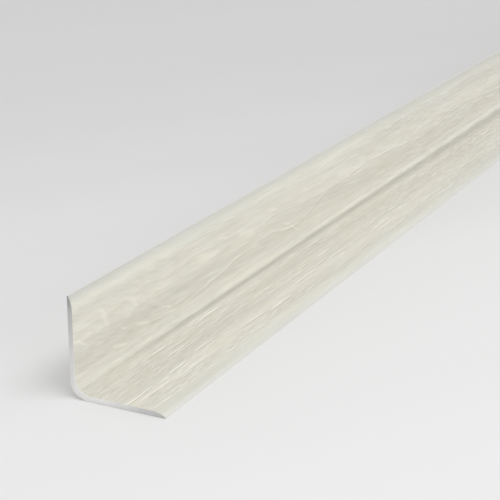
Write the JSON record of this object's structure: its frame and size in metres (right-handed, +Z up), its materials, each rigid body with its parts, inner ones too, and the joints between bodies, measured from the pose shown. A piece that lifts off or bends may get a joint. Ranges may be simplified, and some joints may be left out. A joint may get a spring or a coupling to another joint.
{
  "type": "internal corner trim",
  "caption": "Equal-leg L-section plastic trim strip with a coved inside corner, feathered lips and a pale limed-oak decor face, glued by its plain backs into the corner between two panels.",
  "frame": {"origin": "under the middle of the strip, at the centre of its base rectangle, on the plane that the foot lies on", "axes": "+X along the strip, +Z up along the upright leg, +Y out of the plain back of the upright leg; the decor faces look to -Y and +Z"},
  "size_m": [1, 0.025, 0.025],
  "materials": {
    "decor_plastic": "satin"
  },
  "bodies": {
    "root": {"corner_trim": "decor_plastic"}
  },
  "joints": []
}
